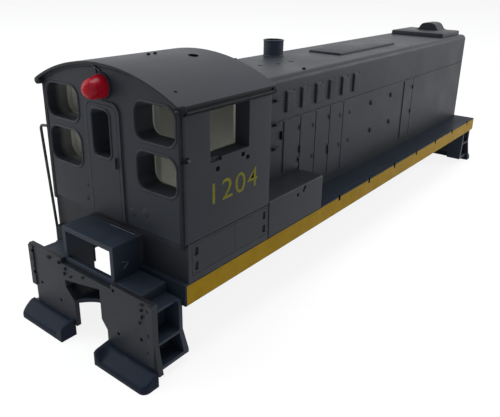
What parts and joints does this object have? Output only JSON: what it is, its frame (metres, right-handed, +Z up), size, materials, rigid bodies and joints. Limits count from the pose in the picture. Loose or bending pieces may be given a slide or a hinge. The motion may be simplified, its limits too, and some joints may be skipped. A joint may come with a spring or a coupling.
{
  "type": "model diesel locomotive body shell",
  "caption": "Body shell of a small model switcher locomotive: arched-roof cab with open windows in thick walls, long louvred hood, walkway with side sills, end pilots with steps and footboards.",
  "frame": {"origin": "middle of the overall box's length and width, at the level of the four footboard soles", "axes": "+X from the cab end towards the hood end, +Z up, the side with the bent wire handrail towards +Y"},
  "size_m": [0.157, 0.0389, 0.049],
  "materials": {
    "body": "satin dark grey paint on moulded plastic",
    "walkway": "satin dark blue-grey paint on moulded plastic",
    "stripe": "satin yellow paint on the side sills",
    "red_lens": "translucent red plastic",
    "clear_lens": "clear plastic",
    "wire": "darkened spring wire"
  },
  "bodies": {
    "root": {"deck": "walkway", "sill_near": "stripe", "sill_far": "stripe", "cab_shell": "body", "cab_roof": "body", "cab_door": "body", "door_window_gasket": "body", "window_gasket_upper_near": "body", "window_gasket_upper_far": "body", "window_gasket_lower_near": "body", "window_gasket_lower_far": "body", "gutter_near": "walkway", "gutter_far": "walkway", "battery_door_near_1": "body", "battery_door_near_2": "body", "battery_door_far_1": "body", "battery_door_far_2": "body", "toolbox_near": "body", "toolbox_far": "body", "marker_base": "walkway", "marker_lens": "red_lens", "corner_handrail": "wire", "handrail_stub": "wire", "hood_shell": "body", "roof_hatch": "body", "radiator_housing": "body", "headlight_housing": "body", "headlight_lens": "clear_lens", "radiator_grille": "walkway", "exhaust_stack": "walkway", "coupler_pocket_rear": "walkway", "platform_near": "walkway", "platform_far": "walkway", "pilot_rear": "body", "pilot_tray_rear": "walkway", "steps_rear_near": "walkway", "steps_rear_far": "walkway", "footboard_rear_near": "walkway", "footboard_rear_far": "walkway", "pilot_front": "body", "steps_front_near": "walkway", "steps_front_far": "walkway", "footboard_front_near": "walkway", "footboard_front_far": "walkway"}
  },
  "joints": []
}
